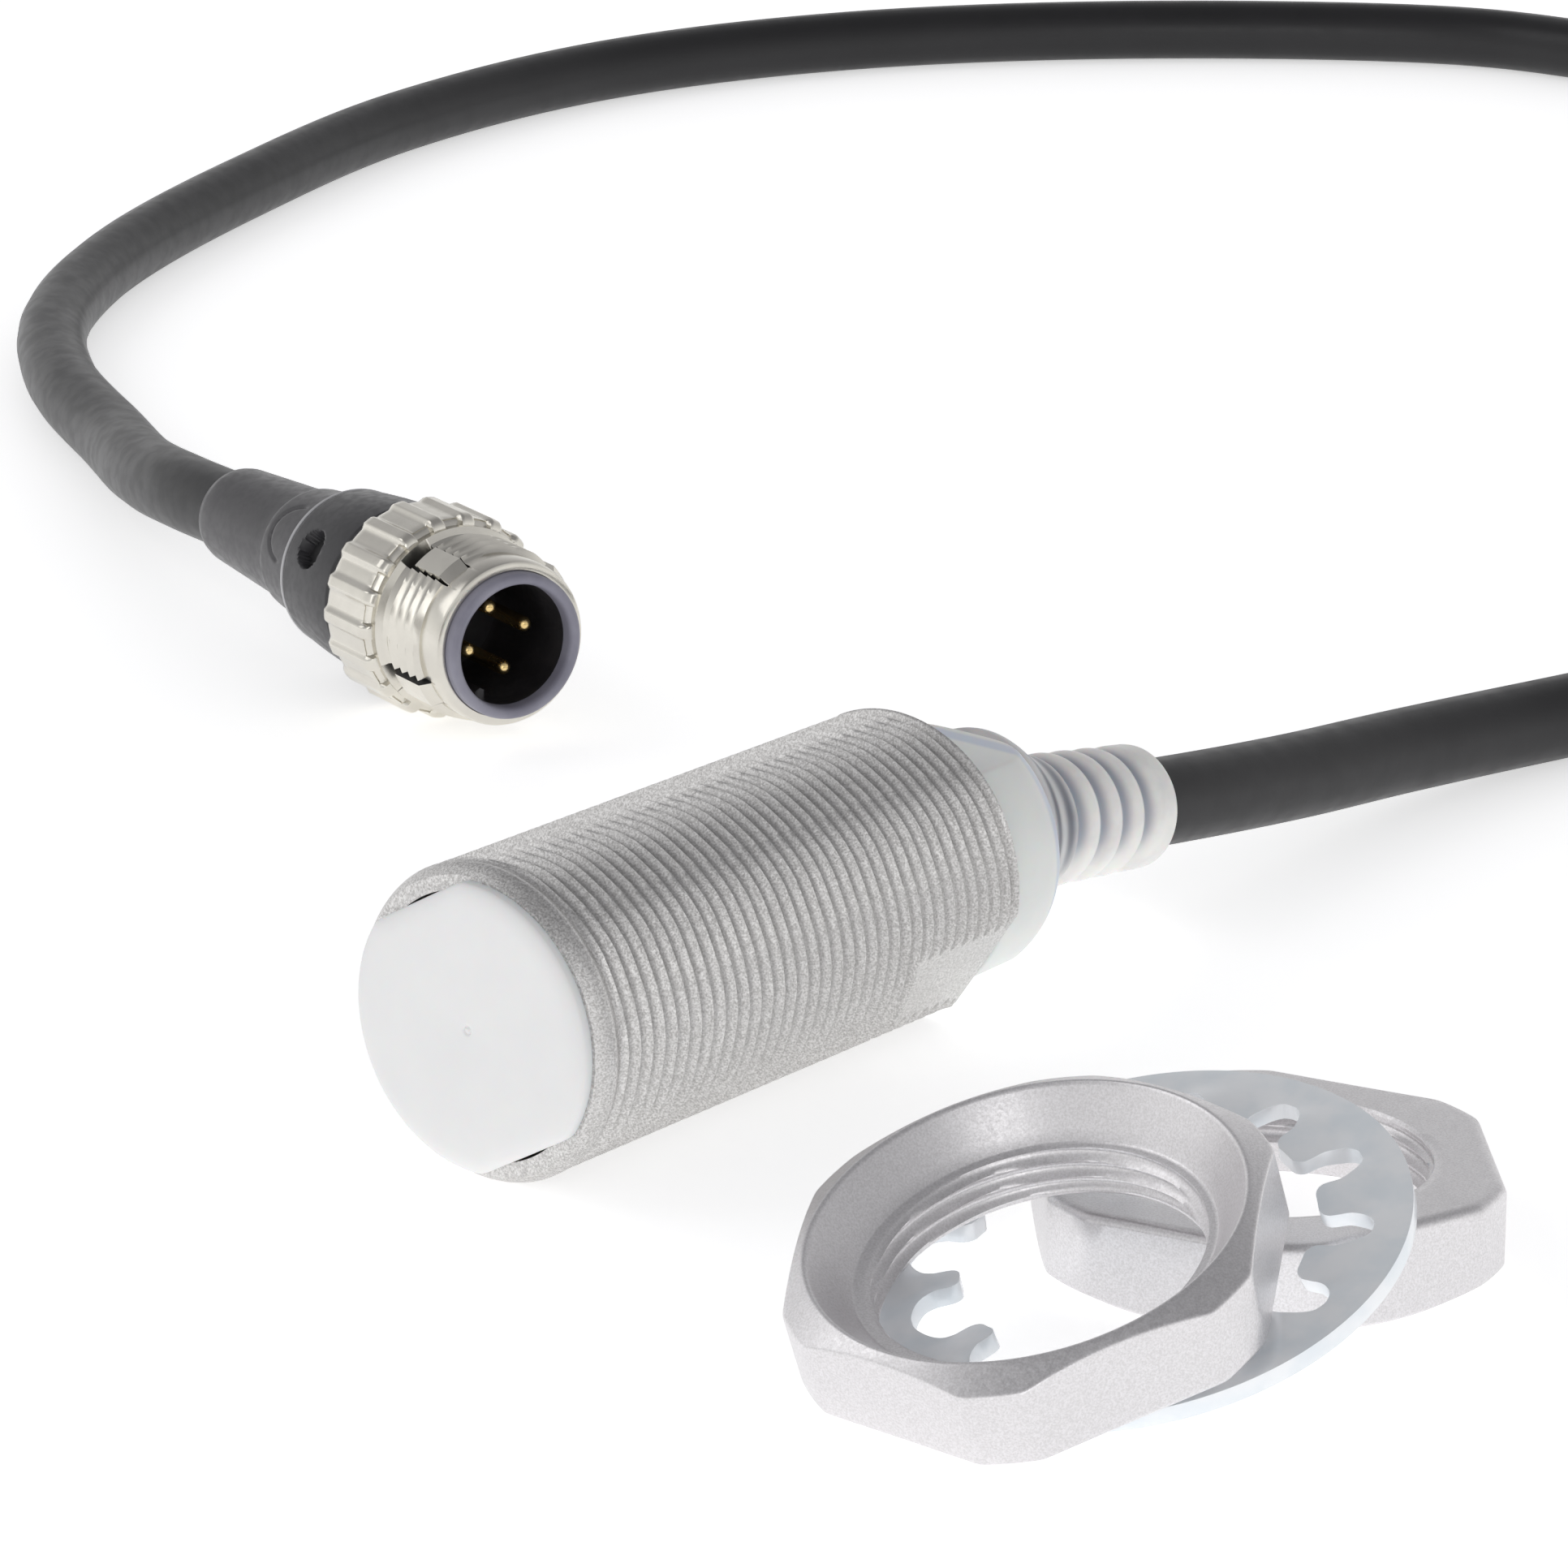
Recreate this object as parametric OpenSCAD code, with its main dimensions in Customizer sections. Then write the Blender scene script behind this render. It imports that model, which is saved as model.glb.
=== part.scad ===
// Threaded inductive proximity sensor with moulded-on cable, quick-lock plug, two nuts and a lock washer.
// Millimetres. The sensor axis runs along +Y from the sensing face at the origin, and +Z is up.

/* [Sensor barrel] */
// outside diameter of the barrel thread
barrel_d = 18; // [12:0.1:30]
// length of the metal barrel
barrel_len = 36; // [20:0.5:80]
// distance from the sensing face back to the metal rim
cap_proud = 0.9; // [0.4:0.1:3]
// bore of the metal barrel
barrel_bore = 14.6; // [10:0.1:16]
// wider mouth of the bore that takes the face cap
mouth_d = 15.2; // [10:0.1:16]
// thread pitch of the barrel and the nuts
pitch = 1; // [0.5:0.25:2]
// depth of one thread groove
thread_depth = 0.55; // [0.2:0.05:1]
// distance between the two wrench flats at the rear of the barrel
wrench_af = 16; // [14:0.1:18]
// length of the wrench flats
wrench_len = 8.5; // [3:0.5:15]
// angle of the wrench flats about the sensor axis
wrench_angle = 35; // [0:1:90]

/* [Sensing head] */
// diameter of the plastic face cap
cap_d = 16.5; // [12:0.1:17.5]
// distance between the two flats on the face cap
cap_af = 14.9; // [10:0.1:16.5]
// angle of the cap flats about the sensor axis
cap_angle = 60; // [0:1:90]
// thickness of the cap wall in front of the coil
cap_wall = 1.2; // [0.5:0.1:3]
// length of the cap skirt inside the barrel
skirt_len = 8; // [4:0.5:15]
// diameter of the ferrite pot core
core_d = 12; // [6:0.1:14]
// length of the ferrite pot core
core_len = 4.2; // [2:0.1:8]

/* [Rear outlet] */
// diameter of the translucent indicator collar
collar_d = 16.2; // [12:0.1:17.5]
// distance between the two flats on the indicator collar
collar_af = 12.2; // [11:0.1:17]
// visible length of the indicator collar
collar_len = 6.5; // [2:0.1:10]
// largest diameter of the ribbed cable guard
guard_d = 8; // [6:0.1:12]
// length of the ribbed cable guard
guard_len = 9.5; // [9:0.1:30]
// sideways turn of the guard away from the sensor axis
guard_yaw = -3.3; // [-20:0.1:20]
// droop of the guard below the sensor axis
guard_droop = 7.7; // [0:0.1:20]
// outside diameter of the cable
cable_d = 5.4; // [4:0.1:8]

/* [Plug] */
// rear end of the plug, where the cable goes in
plug_pos = [-84.2, 69.7, -2];
// direction the plug points, measured from +X
plug_heading = -17.2; // [-180:0.1:180]
// overall length of the plug
plug_len = 37; // [34:0.5:60]
// diameter of the scalloped locking ring
ring_d = 13.8; // [13:0.1:20]
// major diameter of the plug thread
plug_thread_d = 12; // [8:0.1:16]
// diameter of the circle that carries the contact pins
pin_circle = 4.4; // [3:0.1:6]
// diameter of one contact pin
pin_d = 1; // [0.6:0.1:2]
// depth of the plug cavity
cavity_depth = 9; // [5:0.5:12]
// number of scallops round the locking ring
scallops = 18; // [8:1:32]

/* [Nuts and washer] */
// width across the flats of a nut
nut_af = 24; // [20:0.5:36]
// thickness of a nut
nut_h = 5.4; // [3:0.1:10]
// diameter across the cut-off corners of a nut
nut_corner_d = 26; // [24.5:0.1:40]
// diameter of the ridge where the inner cone starts
ridge_d = 22.8; // [19:0.1:24]
// outside diameter of the toothed lock washer
washer_d = 28.4; // [24:0.1:40]
// thickness of the lock washer
washer_t = 1; // [0.5:0.1:2]
// diameter across the inner tooth tips of the washer
washer_bore = 18.6; // [18.2:0.1:22]
// number of inner teeth on the washer
washer_teeth = 12; // [6:1:24]
// twist of one washer tooth
tooth_twist = 16; // [0:1:40]

/* [Resting places] */
// centre of the nut that lies flat
rear_nut_pos = [38.3, 20.3, -9];
// turn of the nut that lies flat
rear_nut_spin = 12.4; // [0:0.1:60]
// centre of the leaning washer
washer_pos = [40.7, 6, -3.74];
// lower-face centre of the leaning nut
front_nut_pos = [39.9, -0.6, -4.89];
// turn of the leaning nut about its own axis
front_nut_spin = 3; // [0:0.1:60]
// lean of the washer and the nut on top of it
pile_tilt = 19.6; // [0:0.1:45]
// compass turn of that lean
pile_turn = -5; // [-90:1:90]

/* [Hidden] */
$fn = 96;

barrel_r = barrel_d / 2;
bore_r = barrel_bore / 2;
mouth_r = mouth_d / 2;
barrel_y0 = cap_proud;
barrel_y1 = cap_proud + barrel_len;
minor_r = barrel_r - thread_depth;
fit_gap = 0.05;
groove_half = 0.4;
rim_chamfer = 0.35;
thread_first = barrel_y0 + 0.8;
groove_count = floor((barrel_y1 - 0.6 - thread_first) / pitch) + 1;
board_t = 1;
board_w = 12.4;
board_y0 = 7.4;
board_y1 = 40.2;
board_neck_w = 8.2;
board_neck_y = 34.4;
board_top = board_t / 2 + fit_gap;
resin_y0 = skirt_len + 0.1;
resin_y1 = barrel_y1 - 2.1;
collar_y1 = barrel_y1 + collar_len;
collar_bore_r = 5.2;
neck_len = 5.6;
neck_r = 6.1;
guard_y0 = collar_y1;
lead_x = 3.6;
lead_r = 0.3;
lead_z = board_top + lead_r + fit_gap;
wire_r = 0.5;
wire_offset = 1.2;
ring_s0 = 23.4;
ring_s1 = 29.2;
thread_s0 = 30;
thread_s1 = 33.8;
plug_ridges = 4;
nose_s1 = plug_len - 0.9;
nose_r = 5.5;
collar_s0 = 15.8;
collar_s1 = 22.6;
carrier_r = 4.85;
nut_minor_r = barrel_r - 0.54;
cone_z = 2.9;
washer_band_r = 12;
lug_w = 2;
lug_turn = 32;
dimple_turn = 239;
key_turn = 329;
pin_turn = 14;
pin_s0 = 21.5;
pin_len = 12.7;

// Places shapes drawn along +Z so that they run along the sensor axis.
module along_y() {
    rotate([-90, 0, 0])
        children();
}

// Places shapes drawn along +Z so that they run along the drooping outlet.
module along_guard() {
    translate([0, guard_y0, 0])
        rotate([-guard_droop, 0, guard_yaw])
            rotate([-90, 0, 0])
                children();
}

// Places shapes drawn along +Z so that they run from the rear of the plug to its nose.
module along_plug() {
    translate(plug_pos)
        rotate([0, 0, plug_heading])
            rotate([0, 90, 0])
                children();
}

// A plain tube between two stations.
module tube(r_out, r_in, z0, z1) {
    translate([0, 0, z0])
        difference() {
            cylinder(r = r_out, h = z1 - z0);
            translate([0, 0, -1])
                cylinder(r = r_in, h = z1 - z0 + 2);
        }
}

// A box centred across X and Z that starts at y.
module board_box(size, pos) {
    translate([pos[0] - size[0] / 2, pos[1], pos[2]])
        cube(size);
}

// A square pair of flats that trims everything outside a width across flats.
module flat_cutters(af, z0, z1) {
    for (side = [0, 180])
        rotate([0, 0, side])
            translate([af / 2, -barrel_d, z0])
                cube([barrel_d, 2 * barrel_d, z1 - z0]);
}

module barrel() {
    outer = concat(
        [[barrel_r - rim_chamfer, barrel_y0], [barrel_r, barrel_y0 + rim_chamfer]],
        [for (k = [0 : groove_count - 1], p = [0 : 2])
            [p == 1 ? minor_r : barrel_r, thread_first + k * pitch + (p - 1) * groove_half]],
        [[barrel_r, barrel_y1 - rim_chamfer / 2], [barrel_r - rim_chamfer / 2, barrel_y1]]);
    color("silver")
        along_y()
            difference() {
                rotate_extrude()
                    polygon(concat(outer, [[bore_r, barrel_y1], [bore_r, skirt_len + fit_gap],
                        [mouth_r, skirt_len + fit_gap], [mouth_r, barrel_y0]]));
                rotate([0, 0, wrench_angle])
                    flat_cutters(wrench_af, barrel_y1 - wrench_len, barrel_y1 + 1);
            }
}

module face_cap() {
    cap_r = cap_d / 2;
    edge = 0.7;
    color("white")
        along_y()
            difference() {
                union() {
                    difference() {
                        rotate_extrude()
                            polygon([[0, 0], [cap_r - edge, 0], [cap_r - edge * 0.3, edge * 0.25],
                                [cap_r, edge], [cap_r, cap_proud], [0, cap_proud]]);
                        rotate([0, 0, cap_angle])
                            flat_cutters(cap_af, -1, cap_proud + 0.01);
                    }
                    translate([0, 0, cap_proud - 0.01])
                        cylinder(r = mouth_r - 0.3, h = skirt_len - cap_proud + 0.01);
                }
                translate([0, 0, cap_wall])
                    cylinder(r = bore_r - 0.7, h = skirt_len);
            }
}

module ferrite_core() {
    core_r = core_d / 2;
    y0 = cap_wall + 0.2;
    post_r = 2.4;
    wall = 1;
    color("dimgray")
        along_y()
            difference() {
                rotate_extrude()
                    polygon([[0, y0], [post_r, y0], [post_r, y0 + core_len - wall],
                        [core_r - wall, y0 + core_len - wall], [core_r - wall, y0], [core_r, y0],
                        [core_r, y0 + core_len], [0, y0 + core_len]]);
                for (side = [-1, 1])
                    translate([side * lead_x, -lead_z, y0 + 1])
                        cylinder(r = lead_r + fit_gap, h = core_len);
            }
}

module shield_ring() {
    color("goldenrod")
        along_y()
            tube(core_d / 2 + 0.45, core_d / 2 + 0.1, cap_wall + 0.2, cap_wall + 5.8);
}

module coil_bobbin() {
    y0 = cap_wall + 0.3;
    y1 = y0 + 2.9;
    flange = 0.35;
    color("ivory")
        along_y()
            rotate_extrude()
                polygon([[2.5, y0], [4.8, y0], [4.8, y0 + flange], [2.9, y0 + flange],
                    [2.9, y1 - flange], [4.8, y1 - flange], [4.8, y1], [2.5, y1]]);
}

module coil_winding() {
    color("chocolate")
        along_y()
            tube(4.7, 2.95, cap_wall + 0.7, cap_wall + 2.8);
}

module coil_leads() {
    color("gold")
        along_y()
            for (side = [-1, 1])
                translate([side * lead_x, -lead_z, cap_wall + 3.3])
                    cylinder(r = lead_r, h = 6);
}

module circuit_board() {
    color("darkgreen") {
        board_box([board_w, board_neck_y - board_y0, board_t], [0, board_y0, -board_t / 2]);
        board_box([board_neck_w, board_y1 - board_neck_y, board_t], [0, board_neck_y, -board_t / 2]);
    }
}

module oscillator_chip() {
    color("black")
        board_box([5, 4, 1.3], [0, 13, board_top]);
}

module output_transistor() {
    color("black")
        board_box([4, 3.2, 1.4], [1, 22, -board_top - 1.4]);
}

module chip_capacitors() {
    color("tan")
        for (place = [[-3.4, 20], [-0.4, 20], [2.6, 20], [3.4, 27]])
            board_box([1.2, 2, 1], [place[0], place[1], board_top]);
}

module status_leds() {
    color("khaki")
        for (side = [-1, 1])
            board_box([1.2, 2, 0.9], [side * 3.2, 37.4, board_top]);
}

module potting_resin() {
    play = 0.05;
    color("peru")
        difference() {
            along_y()
                translate([0, 0, resin_y0])
                    cylinder(r = bore_r - fit_gap, h = resin_y1 - resin_y0);
            board_box([board_w + 2 * play, board_neck_y - board_y0 + play, board_t + 2 * play],
                [0, board_y0, -board_t / 2 - play]);
            board_box([board_neck_w + 2 * play, 9, board_t + 2 * play], [0, board_neck_y - 1, -board_t / 2 - play]);
            board_box([5 + 2 * play, 4 + 2 * play, 1.5], [0, 13 - play, 0.4]);
            board_box([4 + 2 * play, 3.2 + 2 * play, 1.6], [1, 22 - play, -2]);
            for (place = [[-3.4, 20], [-0.4, 20], [2.6, 20], [3.4, 27]])
                board_box([1.2 + 2 * play, 2 + 2 * play, 1.2], [place[0], place[1] - play, 0.4]);
            for (side = [-1, 1])
                translate([side * lead_x, 0, lead_z])
                    along_y()
                        cylinder(r = lead_r + play, h = cap_wall + 9.4);
        }
}

module indicator_collar() {
    r = collar_d / 2;
    color("whitesmoke")
        difference() {
            along_y()
                difference() {
                    rotate_extrude()
                        polygon([[collar_bore_r, barrel_y1 - 2], [bore_r - fit_gap, barrel_y1 - 2],
                            [bore_r - fit_gap, barrel_y1], [r, barrel_y1], [r - 0.15, collar_y1 - 2.1],
                            [r - 0.45, collar_y1 - 1.1], [r - 1.2, collar_y1 - 0.2], [r - 1.7, collar_y1],
                            [collar_bore_r, collar_y1]]);
                    rotate([0, 0, 90])
                        flat_cutters(collar_af, barrel_y1 + fit_gap, collar_y1 + 1);
                }
            along_guard()
                translate([0, 0, 0.5])
                    cylinder(r = neck_r + fit_gap, h = 3);
        }
}

module outlet_neck() {
    color("lightgray")
        difference() {
            union() {
                along_y()
                    translate([0, 0, board_y1 + 0.3])
                        cylinder(r = collar_bore_r - fit_gap, h = guard_y0 - board_y1 - 0.3);
                along_guard()
                    translate([0, 0, 0.55])
                        cylinder(r1 = neck_r, r2 = guard_d / 2 - 0.2, h = neck_len - 0.55);
                along_guard()
                    translate([0, 0, -0.4])
                        cylinder(r = 4.4, h = 2);
            }
            along_guard()
                translate([0, 0, -4])
                    cylinder(r = 2.4, h = neck_len + 5);
        }
}

module cable_guard() {
    s0 = neck_len + 0.05;
    s1 = neck_len + guard_len;
    rib = 2.1;
    r = guard_d / 2;
    color("mintcream")
        along_guard()
            rotate_extrude()
                polygon(concat([[cable_d / 2 + 0.08, s0], [r - 0.15, s0]],
                    [for (k = [0 : 2], p = [0 : 3])
                        [r - 0.06 * k - (p == 0 || p == 3 ? 0.45 : 0),
                            s0 + 0.6 + k * rib + [0, 0.35, 1.25, 1.6][p]]],
                    [[r - 0.35, s0 + 6.8], [r - 0.4, s1 - 0.8], [r - 0.8, s1], [cable_d / 2 + 0.08, s1]]));
}

// Four insulated conductors set on a square, drawn along +Z.
module conductors(z0, z1) {
    for (a = [45, 135, 225, 315])
        rotate([0, 0, a])
            translate([wire_offset, 0, z0])
                cylinder(r = wire_r, h = z1 - z0);
}

module core_wires() {
    color("saddlebrown")
        along_guard()
            conductors(-1.5, neck_len - 0.1);
}

// Cable route, from inside the guard to inside the plug boot.
route = [
    [0.33, 49.05, -0.77],
    [1.05, 61.4, -2.44],
    [1.2, 74, -4.1],
    [1.5, 86, -5.3],
    [3.4, 99.6, -6.2],
    [8, 114, -6.25],
    [16, 132, -6.25],
    [26, 152, -6.25],
    [34, 174, -6.25],
    [36, 197, -6.25],
    [30, 219, -6.25],
    [16, 238, -6.25],
    [-4, 253, -6.25],
    [-28, 263, -6.25],
    [-54, 269, -6.25],
    [-80, 271.5, -6.25],
    [-104, 271.5, -6.25],
    [-122, 268, -6.25],
    [-145, 251.5, -6.25],
    [-162, 231, -6.25],
    [-171, 207, -6.25],
    [-171, 180, -6.25],
    [-164, 153, -6.25],
    [-155, 129, -6.25],
    [-144, 111, -6.25],
    [-130.5, 98.2, -6.2],
    [-114, 87.3, -5.6],
    [-102.5, 79, -4.2],
    [-92.9, 73.2, -2.7],
    [-84.2, 69.7, -2],
    [-80.4, 68.5, -2]
];
cable_sides = 10;

// A point on the smooth curve between route points i and i + 1.
function bend(i, t) =
    let (a = route[max(i - 1, 0)], b = route[i], c = route[i + 1], d = route[min(i + 2, len(route) - 1)])
    0.5 * ((2 * b) + (c - a) * t + (2 * a - 5 * b + 4 * c - d) * t * t + (3 * b - a - 3 * c + d) * t * t * t);

module cable() {
    middles = [for (i = [0 : len(route) - 2], t = (i == 0 || i == len(route) - 2) ? [0] : [0, 0.5]) bend(i, t)];
    line = concat(middles, [route[len(route) - 1]]);
    n = len(line);
    rings = [for (i = [0 : n - 1])
        let (t = line[min(i + 1, n - 1)] - line[max(i - 1, 0)],
            side = cross(t, [0, 0, 1]) / norm(cross(t, [0, 0, 1])),
            up = cross(side, t) / norm(t))
        for (k = [0 : cable_sides - 1])
            line[i] + cable_d / 2 * (cos(360 * k / cable_sides) * side + sin(360 * k / cable_sides) * up)];
    walls = [for (i = [0 : n - 2], k = [0 : cable_sides - 1])
        let (a = i * cable_sides + k, b = i * cable_sides + (k + 1) % cable_sides)
        [a, b, b + cable_sides, a + cable_sides]];
    color("#2c2b2e")
        polyhedron(points = rings, faces = concat(
            walls,
            [[for (k = [cable_sides - 1 : -1 : 0]) k]],
            [[for (k = [0 : cable_sides - 1]) (n - 1) * cable_sides + k]]));
}

module plug_boot() {
    wire_bore = 2;
    color("#4a484b")
        along_plug()
            difference() {
                union() {
                    rotate_extrude()
                        polygon([[cable_d / 2 + 0.02, 0], [3.1, 0], [3.35, 0.7], [4, 10.3], [4.3, 10.9],
                            [4.85, collar_s0 - 0.5], [3.9, collar_s0 - 0.5], [3.9, collar_s1 - 2],
                            [wire_bore, collar_s1 - 2], [wire_bore, 4.2], [cable_d / 2 + 0.02, 4.2]]);
                    translate([3.4, -0.6, 6])
                        cube([1.6, 1.2, 8]);
                }
                translate([5.2, -2, 5])
                    cube([2, 4, 10]);
            }
}

module plug_wires() {
    color("saddlebrown")
        along_plug()
            conductors(4.3, collar_s1 - 2);
}

module boot_band() {
    color("darkgray")
        along_plug()
            tube(5.2, 3.95, collar_s0 - 0.45, collar_s0 - 0.05);
}

module plug_collar() {
    color("#3b3a3d")
        along_plug()
            difference() {
                rotate_extrude()
                    polygon([[3.95, collar_s0], [5.45, collar_s0], [5.8, collar_s0 + 0.8], [5.95, collar_s1],
                        [3.95, collar_s1]]);
                rotate([0, 0, dimple_turn])
                    translate([5.3, 0, collar_s0 + 3])
                        rotate([0, 90, 0])
                            cylinder(r = 1.35, h = 2);
            }
}

module shadow_ring() {
    color("#141315")
        along_plug()
            tube(6.1, 4, collar_s1 + 0.05, ring_s0 - 0.1);
}

module contact_carrier() {
    floor_s = plug_len - cavity_depth;
    color("#7d7c8a")
        along_plug()
            difference() {
                union() {
                    rotate_extrude()
                        polygon([[0, collar_s1 - 1.9], [3.85, collar_s1 - 1.9], [3.85, ring_s0 + 0.4],
                            [carrier_r, ring_s0 + 0.4], [carrier_r, plug_len - 0.3],
                            [carrier_r - 0.3, plug_len], [4.05, plug_len], [4.05, floor_s], [0, floor_s]]);
                    rotate([0, 0, key_turn])
                        translate([3.4, -0.45, floor_s - 0.1])
                            cube([0.9, 0.9, cavity_depth - 1.4]);
                }
                for (k = [0 : 3])
                    rotate([0, 0, 90 * k + pin_turn])
                        translate([pin_circle / 2, 0, pin_s0 - 0.1])
                            cylinder(r = pin_d / 2 + 0.02, h = 12);
            }
}

// One round-ended contact pin standing on the carrier floor.
module contact_pin(k) {
    color("gold")
        along_plug()
            rotate([0, 0, 90 * k + pin_turn])
                translate([pin_circle / 2, 0, pin_s0]) {
                    cylinder(r = pin_d / 2, h = pin_len);
                    translate([0, 0, pin_len])
                        sphere(r = pin_d / 2);
                }
}

module contact_pin_1() {
    contact_pin(0);
}

module contact_pin_2() {
    contact_pin(1);
}

module contact_pin_3() {
    contact_pin(2);
}

module contact_pin_4() {
    contact_pin(3);
}

module threaded_sleeve() {
    r = plug_thread_d / 2;
    core = r - thread_depth;
    color("lightsteelblue")
        along_plug()
            difference() {
                union() {
                    rotate_extrude()
                        polygon(concat([[carrier_r + fit_gap, ring_s0 + 0.5], [5.75, ring_s0 + 0.5], [5.75, ring_s1 + 0.1],
                                [core, ring_s1 + 0.3], [core, thread_s0 - 0.3]],
                            [for (k = [0 : plug_ridges - 1], p = [0 : 2])
                                [p == 2 ? core : r, thread_s0 + k * pitch + [0, 0.2, 0.6][p]]],
                            [[nose_r, thread_s1 + 0.1], [nose_r, nose_s1 - 0.3], [nose_r - 0.3, nose_s1],
                                [carrier_r + fit_gap, nose_s1]]));
                    for (k = [0 : 3])
                        rotate([0, 0, 90 * k + lug_turn])
                            translate([5.2, -lug_w / 2, ring_s1 + 0.2])
                                cube([1.3, lug_w, 3.4]);
                }
                tube(10, 6.55, ring_s1, thread_s1);
            }
}

module locking_ring() {
    r = ring_d / 2;
    color("gainsboro")
        along_plug()
            difference() {
                rotate_extrude()
                    polygon([[5.77, ring_s0], [r - 0.5, ring_s0], [r, ring_s0 + 0.5], [r, ring_s1 - 0.9],
                        [r - 0.6, ring_s1], [5.77, ring_s1]]);
                for (k = [0 : scallops - 1])
                    rotate([0, 0, 360 * k / scallops])
                        translate([r + 1.35, 0, ring_s0 - 1])
                            cylinder(r = 1.6, h = ring_s1 - ring_s0 + 2, $fn = 24);
            }
}

// A hexagon nut drawn on its lower face, with a thread and a deep cone in the upper face.
module nut() {
    corner_r = nut_corner_d / 2;
    ridge_r = ridge_d / 2;
    foot = 0.3;
    drop = (corner_r - ridge_r) * 0.577;
    difference() {
        intersection() {
            cylinder(r = nut_af / sqrt(3), h = nut_h, $fn = 6);
            rotate_extrude()
                polygon([[0, 0], [corner_r - foot, 0], [corner_r, foot], [corner_r, nut_h - drop],
                    [ridge_r, nut_h], [0, nut_h]]);
        }
        rotate_extrude()
            polygon(concat([[0, -1], [nut_minor_r + 1.5, -1], [nut_minor_r, 0.45]],
                [for (k = [0 : 1], p = [0 : 2])
                    [p == 1 ? barrel_r + 0.02 : nut_minor_r, 0.98 + k * pitch + (p - 1) * groove_half]],
                [[nut_minor_r, cone_z], [barrel_r + 0.3, cone_z + 0.1],
                    [ridge_r, nut_h], [ridge_r, nut_h + 1], [0, nut_h + 1]]));
    }
}

module rear_nut() {
    color("lightgray")
        translate(rear_nut_pos)
            rotate([0, 0, rear_nut_spin])
                translate([0, 0, nut_h])
                    rotate([180, 0, 0])
                        nut();
}

// Leans shapes the way the washer and the front nut lean.
module leaning(pos) {
    translate(pos)
        rotate([0, 0, pile_turn])
            rotate([pile_tilt, 0, 0])
                children();
}

module toothed_washer() {
    color("lightsteelblue")
        leaning(washer_pos) {
            tube(washer_d / 2, washer_band_r, -washer_t / 2, washer_t / 2);
            for (k = [0 : washer_teeth - 1])
                rotate([0, 0, (k + 0.5) * 360 / washer_teeth])
                    rotate([tooth_twist, 0, 0])
                        intersection() {
                            translate([washer_bore / 2, -1.6, -washer_t / 2])
                                cube([washer_band_r - washer_bore / 2 + 0.3, 3.2, washer_t]);
                            translate([washer_bore / 2 + 1.9, 0, -2])
                                cylinder(r = 2.1, h = 4, $fn = 32);
                        }
        }
}

module front_nut() {
    color("lightgray")
        leaning(front_nut_pos)
            rotate([0, 0, front_nut_spin])
                nut();
}

barrel();
face_cap();
ferrite_core();
shield_ring();
coil_bobbin();
coil_winding();
coil_leads();
circuit_board();
oscillator_chip();
output_transistor();
chip_capacitors();
status_leds();
potting_resin();
indicator_collar();
outlet_neck();
cable_guard();
core_wires();
cable();
plug_boot();
plug_wires();
boot_band();
plug_collar();
shadow_ring();
contact_carrier();
contact_pin_1();
contact_pin_2();
contact_pin_3();
contact_pin_4();
threaded_sleeve();
locking_ring();
rear_nut();
toothed_washer();
front_nut();
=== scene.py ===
"""Looks of the threaded inductive proximity sensor, with its cable, plug, two nuts and lock washer.

Lengths are written in millimetres, as in the CAD source, and turned into metres where meshes are made.
The sensor axis runs along +Y from the sensing face at the origin, and +Z is up.
"""

import math

import bmesh
import bpy
import numpy as np
from mathutils import Matrix, Vector


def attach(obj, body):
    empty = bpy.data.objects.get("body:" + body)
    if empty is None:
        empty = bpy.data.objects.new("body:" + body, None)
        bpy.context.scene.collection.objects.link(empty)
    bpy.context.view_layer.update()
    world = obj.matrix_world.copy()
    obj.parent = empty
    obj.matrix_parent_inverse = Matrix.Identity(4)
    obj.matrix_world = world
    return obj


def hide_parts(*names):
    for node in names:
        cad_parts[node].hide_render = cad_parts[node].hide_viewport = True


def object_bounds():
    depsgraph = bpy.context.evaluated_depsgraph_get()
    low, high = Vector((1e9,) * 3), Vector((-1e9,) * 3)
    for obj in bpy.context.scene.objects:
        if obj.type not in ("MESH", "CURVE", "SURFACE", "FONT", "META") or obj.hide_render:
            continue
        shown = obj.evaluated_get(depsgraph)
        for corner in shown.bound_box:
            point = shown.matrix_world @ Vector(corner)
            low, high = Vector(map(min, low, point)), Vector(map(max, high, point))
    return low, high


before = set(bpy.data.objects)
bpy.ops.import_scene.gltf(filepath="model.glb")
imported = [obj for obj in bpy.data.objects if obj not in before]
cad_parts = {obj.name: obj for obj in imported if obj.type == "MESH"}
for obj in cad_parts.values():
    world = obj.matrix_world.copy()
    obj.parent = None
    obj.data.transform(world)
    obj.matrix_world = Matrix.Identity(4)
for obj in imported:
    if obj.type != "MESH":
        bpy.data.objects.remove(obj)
cad_low, cad_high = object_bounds()

MM = 0.001

# ---------------------------------------------------------------- places


def turn(degrees, axis):
    """A rotation as a 4x4 matrix."""
    return Matrix.Rotation(math.radians(degrees), 4, axis)


def shift(x, y, z):
    """A move in millimetres as a 4x4 matrix."""
    return Matrix.Translation((x, y, z))


GUARD_START = 43.4
GUARD_DROOP, GUARD_YAW = 7.7, -3.3
PLUG_POS, PLUG_HEADING = (-84.2, 69.7, -2), -17.2
PILE_TURN, PILE_TILT = -5, 19.6

ALONG_SENSOR = turn(-90, "X")
ALONG_GUARD = shift(0, GUARD_START, 0) @ turn(GUARD_YAW, "Z") @ turn(-GUARD_DROOP, "X") @ ALONG_SENSOR
ALONG_PLUG = shift(*PLUG_POS) @ turn(PLUG_HEADING, "Z") @ turn(90, "Y")


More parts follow.
